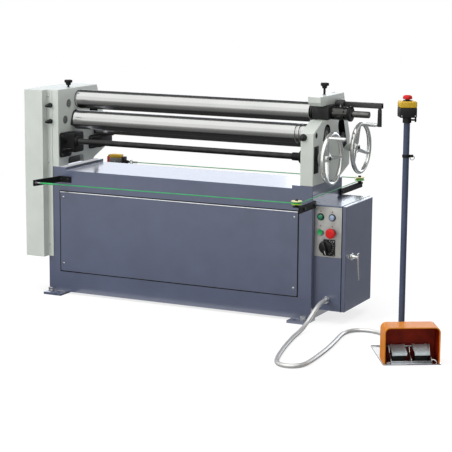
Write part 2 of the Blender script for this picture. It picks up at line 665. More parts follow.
class PaintPackedParts(bpy.types.Operator):
    """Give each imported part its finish"""
    bl_idname = "rolling_machine.paint"
    bl_label = "Paint packed parts"

    def execute(self, context):
        painted = {
            "machine_enamel": ("left_frame", "right_frame", "bearing_cap", "gear_cover"),
            "slate_powder_coat": ("base_cabinet", "front_panel", "control_box", "box_door", "post"),
            "black_satin_enamel": ("shaft_housings", "wire_arms", "release_lever", "lower_slides",
                                   "rear_slides"),
            "black_oxide_iron": ("upper_block", "upper_collar", "lock_bolts", "front_shaft", "rear_shaft",
                                 "left_bush"),
            "oiled_steel": ("frame_plugs",),
            "machined_steel": ("drive_chain", "upper_gear", "lower_gear", "pinion_shaft", "drive_sprocket"),
            "turned_bronze": ("lower_nut_left", "lower_nut_right", "rear_nut_left", "rear_nut_right"),
            "ground_roll_steel": ("upper_roll", "lower_roll", "rear_roll"),
            "polished_chrome": ("front_handwheel", "rear_handwheel", "door_handle"),
            "zinc_plate": ("fasteners", "cable_glands"),
            "motor_enamel": ("motor", "reducer"),
            "brushed_aluminium": ("control_plate",),
            "clear_acrylic": ("indicator_lamps",),
            "black_abs": ("contactor_rack", "cap_knob", "left_knob", "main_switch", "estop_box"),
            "green_abs": ("start_button",),
            "red_abs": ("stop_button", "estop_button"),
            "yellow_abs": ("rope_switch", "estop_lid"),
            "orange_enamel": ("pedal_guard",),
            "conduit_pvc": ("conduit",),
            "wire_pvc": ("trip_wire",),
            "lime_nylon": ("front_pulley", "rear_pulley"),
            "cast_aluminium": ("left_pedal", "right_pedal"),
            "plate_steel": ("pedal_base",),
        }
        for word, nodes in painted.items():
            for node in nodes:
                part = frame["nodes"][node]
                if not part.material_slots:
                    part.data.materials.append(None)
                for slot in part.material_slots:
                    slot.material = finish(word)
                # The left end stays out of the mirror of the tray and the rolls, as the left casting does
                part.visible_glossy = span(node)[1].x > -600
        bare = set(frame["nodes"]) - {node for nodes in painted.values() for node in nodes}
        if bare:
            raise RuntimeError(f"parts without a finish: {sorted(bare)}")
        return {"FINISHED"}


class BuildFrames(bpy.types.Operator):
    """Build the two frame castings with their blackened slide slots"""
    bl_idname = "rolling_machine.frames"
    bl_label = "Frame castings"

    def execute(self, context):
        lines = {joint["name"]: joint["axis"] for joint in frame["joints"] if "axis" in joint}
        slots = [(axes[roll + "_spin"], Vector(lines[roll + "_slide"]), reach)
                 for roll, reach in (("lower", 51), ("rear", 121))]
        for name in ("left_frame", "right_frame"):
            bm = bmesh.new()
            bm.from_mesh(frame["nodes"][name].data)
            bmesh.ops.scale(bm, vec=(1 / MM, 1 / MM, 1 / MM), verts=bm.verts)
            bmesh.ops.remove_doubles(bm, verts=bm.verts, dist=0.001)
            for face, (middle, line, reach) in product(bm.faces, slots):
                away = face.calc_center_median() - middle
                away.x = 0
                along = away.dot(line)
                aside = (away - along * line).length
                if abs(face.normal.x) < 0.3 and aside < 40 and -41 < along < reach:
                    face.material_index = 1
            made = piece(name + "_casting", [bm], ["machine_enamel", "black_satin_enamel"],
                         name, crease=8)
            # The left casting stays out of the tray's mirror, which shows only the pale studio
            made.visible_glossy = name == "right_frame"
        return {"FINISHED"}


class BuildRolls(bpy.types.Operator):
    """Build the upper, lower and rear roll"""
    bl_idname = "rolling_machine.rolls"
    bl_label = "Rolls"

    def execute(self, context):
        left = -643
        stub_x, stub_radius = 815, 15.5
        for roll in ("upper", "lower", "rear"):
            name = roll + "_roll"
            low, high = span(name)
            middle = axes[roll + "_spin"]
            right, journal = (630.0, 26.0) if roll == "upper" else (643.0, 25.0)
            profile = [(low.x, 18), (low.x + 4, 22), (left, 22), (left, 45), (left + 0.6, 46.4),
                       (left + 2, ROLL_RADIUS)]
            if roll == "lower":
                # Two half-round grooves for bending wire
                for groove, turn in product((578, 598), range(180, -1, -20)):
                    along, down = polar(5, turn)
                    profile.append((groove + along, ROLL_RADIUS - down))
            profile += [(right - 2, ROLL_RADIUS), (right - 0.6, 46.4), (right, 45), (right, journal)]
            if roll == "upper":
                profile += [(stub_x, journal), (stub_x, stub_radius)]
                journal = stub_radius
            profile += [(high.x - 1.5, journal), (high.x, journal - 1.5), (high.x, 4.5), (high.x - 2, 3.2),
                        (high.x - 7, 0)]
            bm = turned(profile, (0, middle.y, middle.z), X, 96)
            for face in bm.faces:
                face.material_index = int(face.calc_center_median().x > 700)
            made = piece(name + "_turned", [bm], ["ground_roll_steel", "oiled_steel"], name,
                         roll + "_roller")
            # The rolls stay out of each other's mirror, so that each shows the studio's even shade
            made.visible_glossy = False
        return {"FINISHED"}


class BuildUpperBearing(bpy.types.Operator):
    """Build the bearing block, collar and nipple at the upper roll's right end"""
    bl_idname = "rolling_machine.upper_bearing"
    bl_label = "Upper bearing"

    def execute(self, context):
        y, z = axes["upper_spin"].yz
        at = (0, y, z)
        bore = 26.2
        body = block((650, y - 54, 943.3), (735, y + 54, 1009.5), 5, 3)
        inner = turned([(631, 33.5), (632.5, 35), (637, 35), (638.5, 32), (643, 32), (644.5, 35),
                        (650.5, 35)], at, X, 64, bore)
        neck = turned([(734.5, 31), (790, 31), (791.5, 30), (795, 30), (796.5, 31), (813, 31),
                       (815, 29.5)], at, X, 64, bore)
        nipple = turned([(0, 5), (3, 5), (3.2, 3), (7, 3), (7.4, 2.2), (8.6, 2.2), (9.4, 2.9), (11, 1.6)],
                        (772, y, z + 30.5), Z, 20)
        piece("upper_bearing_block", [body, inner, toned(neck, 2), toned(nipple, 1)],
              ["black_oxide_iron", "zinc_plate", "blued_steel"], "upper_block", "upper_bearing")
        collar = turned([(815.5, 34.5), (817, 36), (828, 36), (829.5, 34.5)], at, X, 64, 15.6)
        grub = turned([(0, 4), (0.7, 4), (0.7, 2.4), (0.2, 2.2)], (822.5, y, z + 35.7), Z, 18)
        piece("upper_shaft_collar", [collar, toned(grub, 1)], ["black_satin_enamel", "zinc_plate"],
              "upper_collar", "upper_roller")
        return {"FINISHED"}


class BuildHandwheels(bpy.types.Operator):
    """Build the two dished handwheels with their handles"""
    bl_idname = "rolling_machine.handwheels"
    bl_label = "Handwheels"

    def execute(self, context):
        sides = context.scene.machine_sizes.rim_sides
        rim_radius = 118.5
        rim_x = 10
        # How far the handle stands out past the hub's face
        reach = 100
        for end, phase in (("front", 0), ("rear", -20)):
            name = end + "_handwheel"
            middle = axes[end + "_wheel_turn"]
            hub = turned([(-4, 14.4), (-34, 14.4), (-34, 26.5), (-32, 28.5), (-14, 28.5), (-7, 26.5),
                          (-1.5, 21), (0, 18), (0, 9), (-1.5, 8)], along=X, steps=56)
            parts = [hub, ring(116.2, 10.8, (rim_x, 0, 0), X, 96, sides)]
            for turn in (0, 120, 240):
                start = Vector((-17, *polar(12.5, turn)))
                end_point = Vector((rim_x, *polar(rim_radius, turn)))
                run = (end_point - start).length
                profile = [(0, 14), (11, 14), (17, 13.2), (24, 12.6), (run - 24, 8.8), (run - 14, 9),
                           (run - 8, 9.6), (run - 6, 0)]
                parts.append(turned(profile, start, end_point - start, 28))
            handle = turned([(2, 6), (19, 6), (19.4, 8.4), (21, 9), (23, 8.6), (24, 7.6), (40, 8.6),
                             (66, 9.5), (88, 9.3), (96, 8.4), (99.2, 6), (reach, 2.5)],
                            (0, *polar(rim_radius, 120)), X, 40)
            bolt = screw((-1.5, 0, 0), X, 7.2, 5)
            hub_face = span(name)[1].x - reach
            spin = Matrix.Rotation(radians(phase), 4, "X")
            place = Matrix.Translation((hub_face, middle.y, middle.z)) @ spin
            piece(name + "_wheel", parts + [handle, toned(bolt, 1)], ["polished_chrome", "black_oxide_iron"],
                  name, end + "_adjuster", place)
        return {"FINISHED"}


class BuildKnobs(bpy.types.Operator):
    """Build the star knobs on the cap and on the left frame"""
    bl_idname = "rolling_machine.knobs"
    bl_label = "Star knobs"

    def execute(self, context):
        lobes = context.scene.machine_sizes.knob_lobes
        for end, carrier, skirt in (("cap", "bearing_cap", 11.0), ("left", "left_frame", 12.0)):
            name = end + "_knob"
            low, high = span(name)
            top = high.z
            head_low = top - 26
            seat = span(carrier)[1].z
            x, y = axes[name + "_turn"].xy
            at = (x, y, 0)
            stud = turned(thread(low.z, head_low, 6.0) + [(head_low + 1, 0)], at, Z, 28)
            flare = turned([(head_low, skirt - 1), (head_low + 1, skirt), (head_low + 7, skirt + 1),
                            (head_low + 11, 13.5), (head_low + 12.5, 15)], at, Z, 40)
            star = disc(90, 14, swell=lambda angle: 17.7 + 3.2 * cos(lobes * angle - radians(90)))
            placed(rounded(star, 2.4, 3), Matrix.Translation((x, y, head_low + 12)))
            dimple = turned([(top - 1, 8.5), (top - 0.05, 8), (top - 0.05, 6.5), (top - 0.6, 5)], at, Z, 32)
            washer = turned([(seat, 11), (seat + 1.6, 11), (seat + 2, 10.4)], at, Z, 36, 6.2)
            piece(name + "_star", [stud, toned(flare, 1), toned(star, 1), toned(dimple, 1), toned(washer, 2)],
                  ["black_oxide_iron", "black_abs", "zinc_plate"], name, end + "_screw")
        return {"FINISHED"}


class BuildReleaseLever(bpy.types.Operator):
    """Build the release lever with its cam, bar and rubber grip"""
    bl_idname = "rolling_machine.release_lever"
    bl_label = "Release lever"

    def execute(self, context):
        y, z = axes["lever_turn"].yz
        low = span("release_lever")[0].z
        cam_y = y - 8.3
        grip_at = (937, y, 0)
        shaft = turned([(657, 11), (658, 12), (722.5, 12)], (0, y, z), X, 40)
        cam = turned([(722, 19.5), (723.5, 21), (760.5, 21), (762, 19.5)], (0, cam_y, z), X, 56)
        bar = block((761.5, y - 12.5, z - 12.5), (950, y + 12.5, z + 12.5), 2, 3)
        cap = block((948.5, y - 10, z - 10), (950.0, y + 10, z + 10), 0.6)
        stem = turned([(z - 19, 8), (z, 8)], grip_at, Z, 32)
        ribs = [(low, 9.8), (low + 1.4, 11)]
        for rib in range(9):
            start = low + 6 + rib * 7
            taper = rib * 0.13
            ribs += [(start, 11 - taper), (start + 0.8, 10.1 - taper), (start + 2.4, 10.1 - taper),
                     (start + 3.2, 11 - taper)]
        ribs += [(low + 78, 9.6), (low + 80, 8.4)]
        grip = turned(ribs, grip_at, Z, 44)
        clamp = screw((741, cam_y, z + 20.4), Z, 5, 5)
        piece("release_lever_arm", [shaft, cam, bar, cap, stem, toned(grip, 1), toned(clamp, 2)],
              ["charcoal_powder_coat", "grip_rubber", "zinc_plate"], "release_lever", "lever")
        return {"FINISHED"}


class BuildHousings(bpy.types.Operator):
    """Build the black castings that carry the cross shafts on the frames"""
    bl_idname = "rolling_machine.housings"
    bl_label = "Shaft housings"

    def execute(self, context):
        front, rear = axes["front_wheel_turn"], axes["rear_wheel_turn"]
        frame_face = -655
        parts = []
        # Foot and shell as front edge, rear edge and bottom, then the nose's radius and the top
        for axis, foot, shell, boss, top in ((front, (-79, 24, -78), (-22, 70, -56), 24.0, 44.0),
                                             (rear, (-140, 16, -80), (-120, 14, -72), 21.2, -12.5)):
            y, z = axis.yz
            flat = block((frame_face, y + foot[0], z + foot[2]), (-645, y + foot[1], z + top + 2), 0)
            parts.append(rounded(rounded(flat, 14, 5, X), 1.5))
            shape = block((frame_face, y + shell[0], z + shell[2]), (-601, y + shell[1], z + top), 0)
            parts.append(rounded(rounded(shape, 12, 5, X), 4, 3))
            nose = [(-602, boss + 5), (-599, boss + 1.5), (-596, boss), (-589, boss), (-587, boss - 2)]
            if axis is rear:
                nose = [(along, min(radius, boss)) for along, radius in nose]
            parts.append(turned(nose, (0, y, z), X, 48, SHAFT_BORE))
            outer, inner = y + foot[0] + 8, y + shell[0] + 6
            under, over = z + foot[2] + 30, z + foot[2] + 42
            wedge = drawn_out([(outer, under), (outer, over), (inner, over), (inner, under)], 40, -647)
            for vert in wedge.verts:
                if vert.co.x > -620 and vert.co.y < y + shell[0]:
                    vert.co.x = -640
            parts.append(rounded(wedge, 1.5))
        parts.append(turned([(579, 17), (581, 19), (612, 19.5), (616, 21), (619, 27), (622, 31.5), (625, 33),
                             (640, 33), (642, 36), (655, 36)], (0, *front.yz), X, 56, SHAFT_BORE))
        parts.append(turned([(579, 19.5), (581, 21.2), (590, 21.2), (592, 19.4), (630, 19.4), (632, 21.2),
                             (655, 21.2)], (0, *rear.yz), X, 48, SHAFT_BORE))
        for axis, radius, reach in ((front, 36.0, 731.0), (rear, 18.5, 741.0)):
            boss = [(720, radius), (reach - 2, radius), (reach, radius - 2)]
            parts.append(toned(turned(boss, (0, *axis.yz), X, 64, SHAFT_BORE), 1))
        made = piece("shaft_castings", parts, ["black_satin_enamel", "machine_enamel"],
                     "shaft_housings")
        made.visible_glossy = False
        return {"FINISHED"}


class BuildBolts(bpy.types.Operator):
    """Build the bolts and screws of the base, cap, panel, cover and housings"""
    bl_idname = "rolling_machine.bolts"
    bl_label = "Bolts and screws"

    def execute(self, context):
        made = piece("zinc_bolts", self.zinc(), ["zinc_plate"], "fasteners")
        made.visible_glossy = False
        piece("black_bolts", self.black(), ["black_oxide_iron"], "lock_bolts")
        return {"FINISHED"}

    def zinc(self):
        """Levelling bolts, frame bolts, cap bolts and the screws of panel and cover."""
        parts = []
        foot_x, foot_y = 692, 212
        for x, y in product((-foot_x, foot_x), (-foot_y, foot_y)):
            stud = turned([(0.6, 8)] + thread(2, 25, 7.0), (x, y, 0), Z, 28)
            washer = turned([(12, 13.5), (14, 13.5)], (x, y, 0), Z, 32, 7.1)
            parts += [stud, washer, hexagon(24, 8, (x, y, 14), Z), hexagon(24, 10, (x, y, 24), Z, 1.2)]
        # These hold the frames from below, through the cabinet's top
        under, over = 616.5, 677
        for x, y in product((-FRAME_X, FRAME_X), (-130, -60, 60, 130)):
            parts.append(hexagon(24, 10, (x, y, under), Z))
            parts.append(turned([(under, 8), (over, 8)], (x, y, 0), Z, 24))
        seat = span("bearing_cap")[1].z - 10
        for y in (132.2, 176.2):
            parts.append(turned([(seat - 2, 15.5), (seat, 15.5)], (FRAME_X, y, 0), Z, 32))
            parts.append(hexagon(24, 8, (FRAME_X, y, seat), Z, 1.2))
        low, high = span("front_panel")
        for x, z in product((-630, 630), (low.z + 38, high.z - 28)):
            parts.append(button_screw((x, low.y, z), BACK_Y, 6, 3))
        low, high = span("gear_cover")
        for z in (250, 669, high.z - 31):
            parts.append(button_screw((-711, FRAME_FRONT, z), BACK_Y, 5, 3))
        for x, z in product((-806, -742), (low.z + 40, (low.z + high.z) / 2, high.z - 40)):
            parts.append(button_screw((x, high.y, z), Y, 5, 3))
        return parts

    def black(self):
        """Lock bolts of the frames and screws of the shaft housings."""
        parts = []
        lock_x = -698
        for z in (954, 874):
            at = (lock_x, FRAME_FRONT, z)
            parts.append(turned([(0, 12), (2, 12), (2.2, 9), (12, 9)], at, BACK_Y, 36))
            parts.append(hexagon(19, 14, (lock_x, FRAME_FRONT - 12, z), BACK_Y, 1.2))
            parts.append(turned([(24, 0)] + thread(25, 44, 6.0) + [(46, 4)], at, BACK_Y, 28))
        x, y, z = 670, -186, 873
        parts.append(turned([(0, 17), (2.4, 17), (3, 16.2)], (x, y, z), BACK_Y, 48))
        parts.append(hexagon(29, 13, (x, y - 3, z), BACK_Y, 2.2))
        parts.append(turned(thread(16, 23, 9.0) + [(24, 6)], (x, y, z), BACK_Y, 36))
        front, rear = axes["front_wheel_turn"], axes["rear_wheel_turn"]
        for axis, size, spots in ((front, 6, ((-68, 30), (-68, -66), (4, -66))),
                                  (rear, 5, ((-134, -22), (-134, -72)))):
            for y, z in spots:
                parts.append(screw((-645, axis.y + y, axis.z + z), X, size, size))
        for turn in (45, 135, 225, 315):
            y, z = polar(26, turn)
            parts.append(screw((625, front.y + y, front.z + z), BACK_X, 4, 4))
        return parts


class BuildControlPanel(bpy.types.Operator):
    """Build the legend plate with its lamps, buttons and rotary switch"""
    bl_idname = "rolling_machine.control_panel"
    bl_label = "Control panel"

    def execute(self, context):
        front = -156.5
        left, right, centre = 751, 809, 780
        lamp_z, button_z, switch_z = 504, 432, 363
        start_at, stop_at = (left, front, button_z), (right, front, button_z)
        parts = [block((722, front, 316), (856, front + 1, 553), 0.35)]
        for x, z in product((728, 850), (322, 547)):
            parts.append(toned(button_screw((x, front, z), BACK_Y, 3.2, 1.6), 1))
        for x, z in product((left, right), (lamp_z + 26, button_z + 30)):
            parts.append(toned(turned([(-0.2, 3.4), (0.35, 3.2)], (x, front, z), BACK_Y, 20), 2))
        parts.append(toned(turned([(0, 17), (2.8, 17), (4, 15.8)], start_at, BACK_Y, 44, 14.2), 1))
        parts.append(toned(turned([(0, 19), (2.5, 19), (3.6, 17.6)], stop_at, BACK_Y, 44, 14.6), 3))
        switch_plate = block((766, front - 3, 322), (826, front, 400), 0)
        parts.append(toned(rounded(rounded(switch_plate, 5, 4, Y), 0.6), 3))
        face = Matrix.Rotation(radians(90), 4, "X")
        print_y = front - 3.05
        for text, z in (("0", 391), ("1", 327)):
            parts.append(toned(lettering(text, 10, Matrix.Translation((818, print_y, z)) @ face), 4))
        for turn in range(-60, 61, 15):
            tick = block((-3, -0.15, -0.5), (3, 0.15, 0.5), 0)
            reach = Matrix.Translation((centre, print_y, switch_z)) @ Matrix.Rotation(radians(turn), 4, "Y")
            parts.append(toned(placed(tick, reach @ Matrix.Translation((36.5, 0, 0))), 4))
        piece("legend_plate", parts,
              ["brushed_aluminium", "zinc_plate", "legend_print", "black_abs", "white_print"],
              "control_plate")
        lamps = []
        for index, x in ((1, left), (2, right)):
            at = (x, front, lamp_z)
            holder = [(-34, 11), (0, 11), (0, 17), (3.4, 17), (5, 15.4), (5, 13.2), (3.8, 13)]
            lamps.append(turned(holder, at, BACK_Y, 44))
            lens = [(4, 12.9), (7, 12.9), (7.6, 12.3), (8.2, 12.7), (10.4, 11.6), (12.4, 9), (13.6, 5.4),
                    (14, 2)]
            lamps.append(toned(turned(lens, at, BACK_Y, 44), index))
        piece("pilot_lamps", lamps, ["black_abs", "green_acrylic", "clear_acrylic"],
              "indicator_lamps")
        start = turned([(-34, 10), (5, 10), (5, 13.3), (8, 13.3), (9, 12.3), (8.9, 10.4), (8.5, 9.4)],
                       start_at, BACK_Y, 44)
        piece("start_cap", [start], ["green_abs"], "start_button", "start")
        stem = turned([(-34, 10), (6, 10), (6, 14), (18.5, 14)], stop_at, BACK_Y, 44)
        mushroom = turned([(17.8, 21.6), (18.6, 23.4), (20, 24), (24.6, 24), (27, 22.6), (28.8, 19.6),
                           (29.7, 14), (30, 7)], stop_at, BACK_Y, 56)
        piece("stop_mushroom", [toned(stem, 1), mushroom], ["red_abs", "black_abs"],
              "stop_button", "stop")
        skirt = turned([(-30, 5), (3.5, 5), (3.5, 30.8), (4.6, 32), (12.6, 32), (14.4, 30.4), (15, 27)],
                       (0, front, 0), BACK_Y, 64)
        flutes = disc(96, 6, swell=lambda angle: 31.2 + 0.7 * cos(24 * angle))
        placed(flutes, aim((0, front - 5.4, 0), BACK_Y))
        bar = block((-8, front - 32, -34), (8, front - 13.5, 29), 3.2, 3)
        mark = block((-1, front - 32.2, -33), (1, front - 31, -12), 0.1, 1)
        turn = Matrix.Translation((centre, 0, switch_z)) @ Matrix.Rotation(radians(-18), 4, "Y")
        piece("rotary_knob", [skirt, flutes, bar, toned(mark, 1)], ["black_phenolic", "white_print"],
              "main_switch", "rotary_switch", turn)
        return {"FINISHED"}


class BuildDoorFittings(bpy.types.Operator):
    """Build the door handle, its lock and the door's seal"""
    bl_idname = "rolling_machine.door_fittings"
    bl_label = "Door fittings"

    def execute(self, context):
        y, z = axes["door_handle_turn"].yz
        # Outside of the door and the inside face of its seal
        out, inner = 878.0, 860.4
        rose = turned([(0.3, 17), (2.4, 17), (4.4, 15.6), (5.6, 13.2), (9, 11.2), (16, 9.2), (24, 8),
                       (31, 8.2), (34.5, 7), (36, 4)], (out, y, z), X, 48)
        length = 130
        arm = bmesh.new()
        bmesh.ops.create_cube(arm, size=1.0, matrix=Matrix.Diagonal((8.6, 13, length, 1.0)))
        upright = [edge for edge in arm.edges if abs(edge.verts[0].co.z - edge.verts[1].co.z) > 1]
        bmesh.ops.subdivide_edges(arm, edges=upright, cuts=11)
        for vert in arm.verts:
            down = 0.5 - vert.co.z / length
            vert.co.x *= 1.06 - 0.4 * down
            vert.co.y *= 1.0 - 0.3 * down
            vert.co.x += 7.0 * (down - 0.15) ** 2 - 1.0
            vert.co.y += 5.0 * down ** 2
        placed(rounded(settled(arm), 2.6, 3), Matrix.Translation((out + 32.5, y, z - 46)))
        spindle = block((out - 14, y - 4, z - 4), (out + 1, y + 4, z + 4), 0.4)
        catch = block((out - 14, y - 8, z - 8), (out - 10, y + 34, z + 8), 0.6)
        piece("lever_handle", [rose, arm, toned(spindle, 1), toned(catch, 1)],
              ["polished_chrome", "machined_steel"], "door_handle", "door_latch")
        lock_y = -120
        lock = turned([(-6, 5), (0, 5), (0, 7.5), (1, 7.5), (1.8, 6.4), (1.8, 4.8), (1.2, 4.6)],
                      (out, lock_y, z + 2), X, 28)
        slit = block((out + 1.0, lock_y - 1, z - 1.5), (out + 1.4, lock_y + 1, z + 5.5), 0.1, 1)
        seal = []
        for y0, y1, z0, z1 in ((-152, -144, 64, 555), (176, 184, 64, 555), (-144, 176, 64, 71),
                               (-144, 176, 548, 555)):
            seal.append(toned(block((inner, y0, z0), (inner + 5, y1, z1), 1.2), 2))
        piece("door_trim", [lock, toned(slit, 1)] + seal,
              ["polished_chrome", "black_oxide_iron", "grip_rubber"], body="door")
        return {"FINISHED"}


class BuildContactors(bpy.types.Operator):
    """Build the terminals, ducts and wires on the mounting plate in the control box"""
    bl_idname = "rolling_machine.contactors"
    bl_label = "Contactors"

    def execute(self, context):
        # Front of the contactors and their spacing
        face = 799.8
        pitch = 54
        parts = []
        for row, count in ((450, 4), (320, 3)):
            for unit in range(count):
                y = -54 + unit * pitch
                parts.append(toned(block((face, y - 17, row - 15), (803, y + 17, row + 15), 1.2), 1))
                parts.append(toned(block((802.5, y - 5, row - 6), (805.5, y + 5, row + 6), 1.0), 2))
                for end, step in product((-30, 30), (-14, 0, 14)):
                    parts.append(button_screw((face, y + step, row + end), X, 4.2, 2.2))
        for z in (384, 250):
            parts.append(toned(block((724.2, -96, z - 12), (764, 156, z + 12), 1.0), 1))
        for wire in range(5):
            y = wire * pitch
            line = [(800, y - 60, 420), (809, y - 60, 408), (800, y - 56, 392), (764, y - 54, 388)]
            parts.append(toned(bent_bar(line, 1.6), 2 if wire % 2 else 3))
        for y in (-60, -40, -20, 0, 10):
            parts.append(button_screw((796, y, 190), X, 4, 2.4))
        piece("contactor_fittings", parts, ["zinc_plate", "conduit_pvc", "red_abs", "green_abs"])
        return {"FINISHED"}


class BuildTripWire(bpy.types.Operator):
    """Build the trip wire's pulleys, ferrules, arm bolts and rope switch"""
    bl_idname = "rolling_machine.trip_wire"
    bl_label = "Trip wire fittings"

    def execute(self, context):
        # From the groove outwards. The pulley's body has its mirror image, its cap the flank itself
        flank = [(3.4, 17.4), (4.6, 23.6), (5.6, 25), (7.2, 25), (8, 24.2), (8, 23), (7.2, 21), (7.2, 14),
                 (8, 12)]
        bore = 5.2
        for end in ("front", "rear"):
            name = end + "_pulley"
            low, high = span(name)
            at = [(low[side] + high[side]) / 2 for side in range(3)]
            mirrored = [(-along, radius) for along, radius in reversed(flank)]
            lower = turned(mirrored + [(-1.6, 16.9), (2.2, 16.9)], at, Z, 56, bore)
            upper = turned([(2.2, 16.9)] + flank, at, Z, 56, bore)
            piece(name + "_wheel", [lower, toned(upper, 1)], ["lime_nylon", "cream_nylon"],
                  name, "pulley_" + end)
        self.wire()
        self.switch()
        return {"FINISHED"}

    def wire(self):
        """Sleeve, ferrules and eye on the wire, and the bolts of its arms."""
        wire_bore = 2.3
        slope = Vector((1410, 0, 6)).normalized()
        start = Vector((-684, -362, 588))
        back = Vector((-590, 420, 603))
        parts = [turned([(36, 3.6), (38, 4.4), (104, 4.4), (110, 3.2)], start, slope, 28, wire_bore)]
        for profile, at, along in (([(8, 4.4), (9, 5), (32, 5), (33, 4.4)], start, slope),
                                   ([(-14, 8), (-11, 8)], start + slope * 18, slope),
                                   ([(22, 4.4), (23, 5), (46, 5), (47, 4.4)], back, (1338, 0, 6))):
            parts.append(toned(turned(profile, at, along, 28, wire_bore), 1))
        parts.append(toned(ring(9, 2.2, back + Vector((11, 0, 0)), Y, 36, 12), 1))
        for size, length, at, along in (
                (13, 5, (-640, -190, 587), BACK_Y), (13, 5, (-600, -190, 587), BACK_Y),
                (13, 5, (728, -300, 561), X), (13, 5, (728, -180, 561), X),
                (10, 4, (728, 164, 578), X), (10, 4, (728, 176, 578), X)):
            parts.append(toned(hexagon(size, length, at, along), 2))
        piece("trip_wire_fittings", parts, ["wire_pvc", "machined_steel", "black_oxide_iron"])

    def switch(self):
        """The rope-pull switch with its bellows and reset button."""
        case = block((-704, 400, 580), (-628, 440, 622), 3, 3)
        lid = block((-704, 401, 621), (-636, 439, 640), 4, 3)
        red_end = block((-718, 402, 582), (-703, 438, 628), 3, 3)
        black_end = block((-629, 403, 582), (-614, 437, 630), 4, 3)
        nose = [(-614, 9)]
        for fold in range(4):
            nose += [(-613 + fold * 4, 9), (-611 + fold * 4, 7)]
        nose += [(-597, 8), (-596, 6), (-596, 5), (-590.2, 5)]
        bellows = turned(nose, (0, 420, 603), X, 36)
        reset = turned([(0, 8), (6, 8), (7, 7)], (-711, 420, 627.5), Z, 28)
        window = turned([(0, 5), (1.4, 4.4), (1.8, 0)], (-670, 400, 602), BACK_Y, 24)
        parts = [case, toned(lid, 1), toned(red_end, 2)]
        parts += [toned(part, 3) for part in (black_end, bellows, reset)] + [toned(window, 4)]
        for x, y in product((-698, -642), (407, 433)):
            parts.append(toned(button_screw((x, y, 639.4), Z, 3, 0.6), 3))
        piece("rope_pull_switch", parts,
              ["die_cast_zinc", "yellow_abs", "red_abs", "black_abs", "clear_acrylic"],
              "rope_switch")


